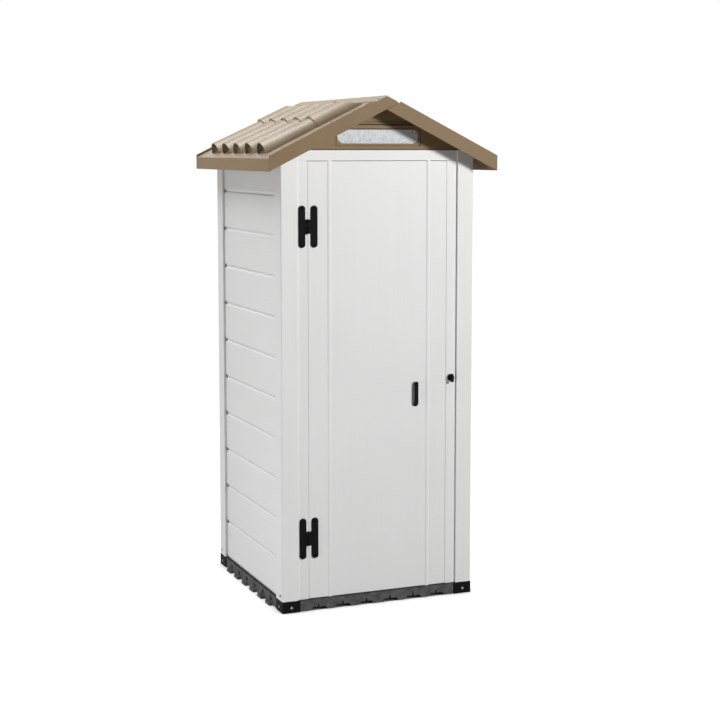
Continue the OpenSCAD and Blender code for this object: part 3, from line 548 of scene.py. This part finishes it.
# Slope on a jamb before its post: its width, its drop, and the depth of the corners that take part
JAMB_GROOVE = 2 * MM
JAMB_STEP = 1 * MM
JAMB_SKIN = 1 * MM
# How much the front posts' flange is narrower than the solid's, and jambs and header reach to the door
FLANGE_CUT = 6.5 * MM
LEFT_JAMB_CLOSER = 0.9 * MM
RIGHT_JAMB_CLOSER = 0.6 * MM
HEADER_DROP = 1.2 * MM


def make_posts():
    """Extruded corner posts with eased corners; beside the door their flange ends a little earlier."""
    for node in [n for n in NODES if n.startswith("corner_post")]:
        post = plain_copy(node)
        if "front" in node:
            side = 1 if node.endswith("right") else -1
            move_corners(
                post,
                lambda p: p.y < DOOR_FACE + TINY and side * p.x < POST_IN + TINY,
                (side * FLANGE_CUT, 0, 0),
            )
        round_edges(post, width=1.2 * MM, segments=3)
        stands_for(post, node, WHITE_UPRIGHT)


def one_board():
    """The lowest board of the wall x > 0: its lower and upper edges slope in from the face, so that two
    boards meet in a soft V. Beside each post run a seam and, at the joints, notches."""
    low = Vector((WALL_LOW.x, WALL_LOW.y, 0))
    high = Vector((WALL_HIGH.x, WALL_HIGH.y, BOARD_PITCH - BOARD_GAP))
    board = start_box("wall_board", low, high)
    cut_at(board, ALONG_Z, (GROOVE_UNDER, high.z - GROOVE_OVER))
    move_corners(
        board, lambda p: p.x > high.x - TINY and (p.z < TINY or p.z > high.z - TINY), (-GROOVE_DEPTH, 0, 0),
    )
    notch_in = POST_IN - NOTCH_WIDE
    seam_in = POST_IN - SEAM_WIDE
    cut_at(board, ALONG_Y, (-POST_IN, -seam_in, -notch_in, notch_in, seam_in, POST_IN))

    def at_joint(c):
        """Whether a face lies in the groove between two boards."""
        return c.z < GROOVE_UNDER or c.z > high.z - GROOVE_OVER

    for start, joint, depth in ((notch_in, True, NOTCH_DEEP), (seam_in, False, SEAM_DEEP)):
        push_faces(
            board,
            lambda c, n: n.x > GROOVE_FACING and start < abs(c.y) < POST_IN and at_joint(c) == joint,
            (-depth, 0, 0),
        )
    round_edges(board, width=0.8 * MM, angle=12)
    return board


def make_wall_boards():
    """Three walls of boards, one board modelled and the others copied from it."""
    first = one_board()
    turns = {"right_wall_boards": 0, "left_wall_boards": math.pi, "rear_wall_boards": math.pi / 2}
    for node, turn in turns.items():
        boards = [copy_to(first, (0, 0, BOARD_FOOT + i * BOARD_PITCH)) for i in range(BOARDS)]
        wall = join(boards, node + "_moulded")
        wall.rotation_euler.z = turn
        apply_place(wall)
        stands_for(wall, node, WHITE_LEVEL_X if node.startswith("rear") else WHITE_LEVEL_Y)
    bpy.data.objects.remove(first)
    for node in ("wall_top_rail_left", "wall_top_rail_right"):
        stands_for(eased_copy(node, width=0.6 * MM), node, WHITE_LEVEL_Y)


def make_jamb(node, side, closer):
    """A jamb that stands closer to the door, and whose face slopes in before the post to a soft groove."""
    jamb = plain_copy(node)
    low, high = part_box(node)
    inner_edge = min(abs(low.x), abs(high.x))
    flange = POST_IN + FLANGE_CUT
    cut_at(jamb, ALONG_X, (side * (flange - JAMB_GROOVE), side * flange))
    move_corners(
        jamb,
        lambda p: p.y < DOOR_FACE + JAMB_SKIN and side * p.x > flange - TINY,
        (0, JAMB_STEP, 0),
    )
    move_corners(jamb, lambda p: side * p.x < inner_edge + TINY, (-side * closer, 0, 0))
    round_edges(jamb, width=0.4 * MM)
    stands_for(jamb, node, WHITE_UPRIGHT)


def make_door_frame():
    """The two jambs, and the header that comes down closer to the door."""
    make_jamb("door_jamb_left", -1, LEFT_JAMB_CLOSER)
    make_jamb("door_jamb_right", 1, RIGHT_JAMB_CLOSER)
    header = plain_copy("door_header")
    door_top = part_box("door_header")[0].z
    move_corners(header, lambda p: p.z < door_top + TINY, (0, 0, -HEADER_DROP))
    round_edges(header, width=0.3 * MM)
    stands_for(header, "door_header", WHITE_LEVEL_X)


# Door

# Crown of a bead: half its width, its height, its shift sideways, and its reach past the strip
CROWN_HALF = 8 * MM
CROWN_HIGH = 2.6 * MM
CROWN_SHIFT = 4 * MM
CROWN_OVER = 4 * MM
CROWN_UNDER = 1.5 * MM
CROWN_SIDES = 40
# How far the crown sinks into the strip, and how far the strip stands out of the door
CROWN_SUNK = 0.1 * MM
BASE_THICK = 0.1 * MM


def make_bead(node):
    """Joining profile of two door panels: a flat strip with a crowned bead along it. The bead is a bar
    pressed flat, with its inner half taken off and the cut closed."""
    low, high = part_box(node)
    middle = (low.x + high.x) / 2
    strip = start_box(node + "_strip", (low.x, DOOR_FACE - BASE_THICK, low.z), (high.x, high.y, high.z))
    centre = (middle + CROWN_SHIFT, DOOR_FACE, (low.z - CROWN_UNDER + high.z + CROWN_OVER) / 2)
    length = high.z - low.z + CROWN_OVER + CROWN_UNDER
    crown = start_bar(node + "_crown", radius=1.0, length=length, sides=CROWN_SIDES)
    crown.scale = (CROWN_HALF, CROWN_HIGH, 1)
    crown.location = centre
    apply_place(crown)
    cut_at(crown, ALONG_Y, (DOOR_FACE + CROWN_SUNK,))
    edit_faces(crown, lambda c, n: c.y > DOOR_FACE + CROWN_SUNK)
    bpy.ops.mesh.delete(type="FACE")
    bpy.ops.mesh.select_all(action="SELECT")
    bpy.ops.mesh.remove_doubles(threshold=TINY)
    leave_edit()
    edit_all(crown)
    bpy.ops.mesh.select_all(action="DESELECT")
    bpy.ops.mesh.select_non_manifold()
    bpy.ops.mesh.edge_face_add()
    bpy.ops.mesh.select_all(action="SELECT")
    bpy.ops.mesh.normals_make_consistent(inside=False)
    leave_edit()
    round_edges(crown, width=0.8 * MM, segments=3, angle=50)
    stands_for(join([strip, crown], node + "_moulded"), node, WHITE_UPRIGHT)


def make_door():
    """Three hollow panels, the beads that join them and the caps that close them."""
    for node in ("door_panel_hinge_side", "door_panel_centre", "door_panel_lock_side"):
        stands_for(eased_copy(node, width=0.4 * MM), node, WHITE_UPRIGHT)
    for node in ("door_bead_left", "door_bead_right"):
        make_bead(node)
    for node in ("door_cap_top", "door_cap_bottom"):
        stands_for(eased_copy(node, width=0.4 * MM), node, WHITE_LEVEL_X)


# Roof

# Roof sheet: its slope, its thickness, its gap to the eave, and the top of its edge
ROOF_SLOPE = math.radians(26.27)
SHEET_THICK = 5 * MM
SHEET_GAP = 0.1 * MM
EAVE_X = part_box("eave_fascia_right")[1].x
EAVE_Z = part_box("roof_panel_right")[0].z + SHEET_THICK * math.cos(ROOF_SLOPE) - SHEET_GAP
# Barrels of the solid: number, pitch, half width, height, radius of the lower course, and where along
# the slope the lower course starts, the upper one starts and the barrels end
RIBS = 5
RIB_PITCH = 150 * MM
RIB_HALF = 59 * MM
RIB_HIGH = 40 * MM
RIB_RADIUS = (RIB_HALF ** 2 + RIB_HIGH ** 2) / (2 * RIB_HIGH)
RIB_FOOT = 38 * MM
COURSE_STEP = 272 * MM
RIB_END = 478 * MM
# Corners this close to a surface belong to it, and the lower course runs this far under the upper one
ON_SURFACE = 0.5 * MM
COURSE_LAP = 4 * MM
# Heights of a barrel at its wide end, in the lower and the upper course, and at its narrow end,
# as shares of the solid's height
LOWER_SHARE = 1.14
UPPER_SHARE = 1.03
NARROW_SHARE = 0.93
# Inner wall of the open lower end: its place behind the start of the barrel, its lean, and how much
# deeper it goes
RECESS_FROM = 8.5 * MM
RECESS_TO = 15 * MM
RECESS_LEAN = 6 * MM
RECESS_EXTRA = 14 * MM


def taper_ribs(panel, side):
    """Makes each barrel stand higher at its lower end, and opens its lower end deeper."""
    along = Vector((-side * math.cos(ROOF_SLOPE), 0, math.sin(ROOF_SLOPE)))
    off = Vector((side * math.sin(ROOF_SLOPE), 0, math.cos(ROOF_SLOPE)))
    eave = Vector((side * EAVE_X, 0, EAVE_Z))
    for corner in panel.data.vertices:
        far = (corner.co - eave).dot(along)
        high = (corner.co - eave).dot(off)
        if high < ON_SURFACE:
            continue
        across = abs((corner.co.y + RIBS / 2 * RIB_PITCH) % RIB_PITCH - RIB_PITCH / 2)
        on_lower = math.hypot(across, high + RIB_RADIUS - RIB_HIGH) < RIB_RADIUS + ON_SURFACE
        if on_lower and far < COURSE_STEP + COURSE_LAP:
            wide = LOWER_SHARE
            run = (far - RIB_FOOT) / (COURSE_STEP - RIB_FOOT)
        else:
            wide = UPPER_SHARE
            run = (far - COURSE_STEP) / (RIB_END - COURSE_STEP)
        run = min(1, max(0, run))
        corner.co += off * high * (wide + (NARROW_SHARE - wide) * run - 1)
        if RIB_FOOT + RECESS_FROM < far - RECESS_LEAN * high / RIB_HIGH < RIB_FOOT + RECESS_TO:
            corner.co += along * RECESS_EXTRA


def make_roof():
    """Two slopes, the ridge cap, the fascias round the edges and the beam below the ridge."""
    for node, side in (("roof_panel_left", -1), ("roof_panel_right", 1)):
        panel = plain_copy(node)
        taper_ribs(panel, side)
        round_edges(panel, width=1.5 * MM, segments=3)
        stands_for(panel, node, ROOF_TAUPE)
    stands_for(eased_copy("ridge_cap", width=0.8 * MM), "ridge_cap", ROOF_TAUPE)
    for node in [n for n in NODES if "fascia" in n]:
        stands_for(eased_copy(node, width=1.0 * MM, segments=3), node, TAUPE)
    stands_for(eased_copy("ridge_beam", width=0.6 * MM), "ridge_beam", WHITE_LEVEL_Y)


# Gable and window

# Height above the gable's foot and width of its seams, one over the header and two above the window,
# and their depth
SEAMS = ((0, 4 * MM), (97 * MM, 5 * MM), (107 * MM, 3 * MM))
GABLE_SEAM = 7 * MM
SURROUND_GAP = 2.5 * MM


def make_gable():
    """The front gable meets the header with a seam and has two more above the window."""
    gable = merged_copy("gable_panel_front")
    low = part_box("gable_panel_front")[0]
    for rise, width in SEAMS:
        foot = low.z + rise
        cut_at(gable, ALONG_Z, (foot, foot + width))
        push_faces(gable, lambda c, n: n.y < -FACING and foot < c.z < foot + width, (0, GABLE_SEAM, 0))
    round_edges(gable, width=0.5 * MM)
    stands_for(gable, "gable_panel_front", TAUPE)
    stands_for(eased_copy("gable_panel_rear", width=0.6 * MM), "gable_panel_rear", TAUPE)


def make_window():
    """The surround sits in its seat with a narrow gap all round."""
    surround = plain_copy("window_surround")
    low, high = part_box("window_surround")
    for axis in (ALONG_X, ALONG_Z):
        move_corners(surround, lambda p: p[axis] < low[axis] + TINY, on_axis(axis, SURROUND_GAP))
        move_corners(surround, lambda p: p[axis] > high[axis] - TINY, on_axis(axis, -SURROUND_GAP))
    round_edges(surround, width=0.6 * MM)
    stands_for(surround, "window_surround", TAUPE)
    stands_for(eased_copy("window_pane", width=1.2 * MM, segments=3), "window_pane", PANE)


# Floor

# Rebate round the floor: its lower edge, the faces it is cut into, and its depth
RIM_LOW = 43.5 * MM
RIM_FACE = 405.5 * MM
RIM_DEPTH = 3.5 * MM


def make_floor():
    """Floor tiles with a narrow rebate under the walls, and the corner feet."""
    for node in [n for n in NODES if n.startswith("floor_tile")]:
        tile = merged_copy(node)
        cut_at(tile, ALONG_Z, (RIM_LOW,))
        for axis in (ALONG_X, ALONG_Y):
            for side in (-1, 1):
                push_faces(
                    tile,
                    lambda c, n: side * n[axis] > FACING and side * c[axis] > RIM_FACE and c.z > RIM_LOW,
                    on_axis(axis, -side * RIM_DEPTH),
                )
        merge_flats(tile)
        round_edges(tile, width=0.5 * MM)
        stands_for(tile, node, FLOOR)
    for node in [n for n in NODES if n.startswith("corner_foot")]:
        stands_for(eased_copy(node, width=1.0 * MM, segments=3), node, BLACK)


# Hinges, handle and lock

# Handle: depth of its front part and how far that moves in, where its corners divide from left to right,
# and how far each side moves
GRIP_FRONT = 9 * MM
GRIP_BACK = 6 * MM
GRIP_SPLIT = 8 * MM
GRIP_LEFT = 5 * MM
GRIP_RIGHT = 3.5 * MM
# Knob: a point on its axis and its turn, as photographed
LOCK_AXIS = Vector((316 * MM, 0, 897 * MM))
GRIP_LEAN = math.radians(-28)
# Rosette: width of its flat rim, and width and depth of the wall of its recess
ROSETTE_RIM = 2.5 * MM
ROSETTE_WALL = 0.5 * MM
ROSETTE_DEPTH = 1.5 * MM
# Screws: width of a head's rim, width and depth of the wall of its drive, and how far from the middle
# of the shed the heads in its sides stand
DRIVE_RIM = 2.2 * MM
DRIVE_WALL = 0.3 * MM
DRIVE_DEPTH = 1.6 * MM
SIDE_HEADS = 411 * MM


def make_hinge_leaves():
    """Black leaves with well rounded edges."""
    for node in [n for n in NODES if n.startswith(("hinge_frame_leaf", "hinge_door_leaf"))]:
        stands_for(eased_copy(node, width=1.0 * MM, segments=3), node, BLACK)


def make_handle():
    """A slim pull that stands close to the door."""
    handle = plain_copy("door_handle")
    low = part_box("door_handle")[0]
    move_corners(handle, lambda p: p.y < low.y + GRIP_FRONT, (0, GRIP_BACK, 0))
    move_corners(handle, lambda p: p.x < low.x + TINY, (GRIP_LEFT, 0, 0))
    move_corners(handle, lambda p: p.x > low.x + GRIP_SPLIT, (GRIP_RIGHT, 0, 0))
    round_edges(handle, width=1.2 * MM, segments=3)
    stands_for(handle, "door_handle", BLACK)


def make_lock():
    """The leaning knob on a dished rosette."""
    knob = plain_copy("lock_knob")
    for shift, turn in ((-LOCK_AXIS, 0), ((0, 0, 0), GRIP_LEAN), (LOCK_AXIS, 0)):
        knob.location = shift
        knob.rotation_euler.y = turn
        apply_place(knob)
    round_edges(knob, width=2.0 * MM, segments=3)
    stands_for(knob, "lock_knob", BLACK)
    rosette = plain_copy("lock_rosette")
    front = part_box("lock_rosette")[0].y
    edit_faces(rosette, lambda c, n: n.y < -FACING and c.y < front + TINY)
    bpy.ops.mesh.inset(thickness=ROSETTE_RIM, depth=0)
    bpy.ops.mesh.inset(thickness=ROSETTE_WALL, depth=-ROSETTE_DEPTH)
    leave_edit()
    round_edges(rosette, width=0.5 * MM, segments=3)
    stands_for(rosette, "lock_rosette", NICKEL)


def make_cam_and_pins():
    """The lock's cam and the hinge pins, all of plated steel."""
    for node in ("lock_cam", "hinge_pin_upper", "hinge_pin_lower"):
        stands_for(eased_copy(node, width=0.5 * MM), node, ZINC)


def on_side(c, n):
    """Outer faces of the heads that stand out of the four sides."""
    return max(n.x * c.x, n.y * c.y) > FACING * SIDE_HEADS


def on_slope(c, n):
    """Outer faces of the heads on the two slopes."""
    return n.z > SLOPE_FACING


def on_front(c, n):
    """Outer faces of the heads on the front."""
    return n.y < -FACING


def make_screws(node, material, is_head):
    """Pan heads with a round drive sunk into each."""
    screws = plain_copy(node)
    edit_faces(screws, is_head)
    bpy.ops.mesh.inset(thickness=DRIVE_RIM, depth=0, use_individual=True)
    bpy.ops.mesh.inset(thickness=DRIVE_WALL, depth=-DRIVE_DEPTH, use_individual=True)
    leave_edit()
    round_edges(screws, width=0.5 * MM)
    stands_for(screws, node, material)


def make_all_screws():
    """Zinc screws in the shed and black ones in the hinges."""
    make_screws("foot_screws", ZINC, on_side)
    make_screws("post_screws", ZINC, on_side)
    make_screws("roof_screws", ZINC, on_slope)
    make_screws("hinge_frame_screws", BLACK, on_front)
    make_screws("hinge_door_screws", BLACK, on_front)


# Studio

def make_camera():
    """The photograph's camera, with the small picture shift that its framing needs."""
    deselect()
    bpy.ops.object.camera_add(location=CAMERA_PLACE, rotation=(math.pi / 2 - CAMERA_DIP, 0, -CAMERA_TURN))
    camera = bpy.context.object
    camera.data.sensor_width = SENSOR
    camera.data.lens = FOCAL_PIXELS / IMAGE_SIZE * SENSOR
    camera.data.shift_y = PICTURE_SHIFT
    camera.data.clip_end = VIEW_REACH
    bpy.context.scene.camera = camera


def make_ground():
    """A pale ground that shows white to the camera, but not under the shed, and keeps the shed's shadow. Its
    glow fades by ambient occlusion beside the shed, a painted contact shade.
    """
    deselect()
    bpy.ops.mesh.primitive_plane_add(size=GROUND_SIZE, location=(0, 0, -GROUND_DROP))
    ground = bpy.context.object
    ground.name = "studio_floor"
    material, tree, shader, place = new_material(
        "studio_paper", {
            "Roughness": 0.9, "Base Color": linear("#8C8C8C"), "Specular IOR Level": 0.1,
            "Emission Color": linear("#FFFFFF"),
        },
    )
    rays = add_node(tree, "ShaderNodeLightPath").outputs
    seen = add_node(
        tree, "ShaderNodeMath", {0: rays["Is Camera Ray"], 1: rays["Is Glossy Ray"]}, operation="MAXIMUM",
    ).outputs["Value"]
    # Painted contact shade: the ground's glow dims where ambient occlusion finds the shed close by
    occlusion_for_painted_contact_shade = add_node(
        tree, "ShaderNodeAmbientOcclusion", {"Distance": CONTACT_REACH}, samples=16,
    ).outputs["AO"]
    across, back, _ = add_node(tree, "ShaderNodeSeparateXYZ", {"Vector": place}).outputs
    aside = add_node(tree, "ShaderNodeMath", {0: across}, operation="ABSOLUTE").outputs["Value"]
    along = add_node(tree, "ShaderNodeMath", {0: back}, operation="ABSOLUTE").outputs["Value"]
    furthest = add_node(tree, "ShaderNodeMath", {0: aside, 1: along}, operation="MAXIMUM").outputs["Value"]
    outside = add_node(
        tree, "ShaderNodeMath", {0: furthest, 1: UNDER_SHED}, operation="GREATER_THAN",
    ).outputs["Value"]
    level = add_node(
        tree, "ShaderNodeMath", {0: occlusion_for_painted_contact_shade, 1: outside}, operation="MULTIPLY",
    ).outputs["Value"]
    glow = add_node(tree, "ShaderNodeMath", {0: seen, 1: level}, operation="MULTIPLY").outputs["Value"]
    connect(tree, shader, {"Emission Strength": glow})
    ground.data.materials.append(material)


def make_world(level):
    """Soft white light all round; the camera and mirrors see plain white."""
    world = bpy.data.worlds.new("studio_air")
    bpy.context.scene.world = world
    world.use_nodes = True
    tree = world.node_tree
    sky = tree.nodes["Background"]
    rays = add_node(tree, "ShaderNodeLightPath").outputs
    seen = add_node(
        tree, "ShaderNodeMath", {0: rays["Is Camera Ray"], 1: rays["Is Glossy Ray"]}, operation="MAXIMUM",
    ).outputs["Value"]
    clear = add_node(
        tree, "ShaderNodeMath", {0: seen, 1: rays["Is Transmission Ray"]}, operation="MAXIMUM",
    ).outputs["Value"]
    strength = add_node(
        tree, "ShaderNodeMapRange", {"Value": clear, "To Min": level, "To Max": 1.0},
    ).outputs["Result"]
    sky.inputs["Color"].default_value = linear("#FFFFFF")
    connect(tree, sky, {"Strength": strength})


def add_lamp(name, place, aim, size, power):
    """A square softbox that looks at a point."""
    deselect()
    bpy.ops.object.light_add(type="AREA", location=place)
    lamp = bpy.context.object
    lamp.name = name
    lamp.data.size = size
    lamp.data.energy = power
    lamp.rotation_euler = (aim - place).to_track_quat("-Z", "Y").to_euler()


make_camera()
make_posts()
make_wall_boards()
make_door_frame()
make_door()
make_roof()
make_gable()
make_window()
make_floor()
make_hinge_leaves()
make_handle()
make_lock()
make_cam_and_pins()
make_all_screws()
make_ground()
make_world(AIR_LEVEL)
add_lamp("key_softbox", KEY_PLACE, KEY_FACING, KEY_SIZE, KEY_POWER)
add_lamp("top_softbox", TOP_PLACE, TOP_AIM, TOP_SIZE, TOP_POWER)
add_lamp("side_softbox", SIDE_PLACE, SIDE_AIM, SIDE_SIZE, SIDE_POWER)
add_lamp("back_softbox", BACK_PLACE, BACK_AIM, BACK_SIZE, BACK_POWER)

scene = bpy.context.scene
scene.view_settings.view_transform = "Standard"
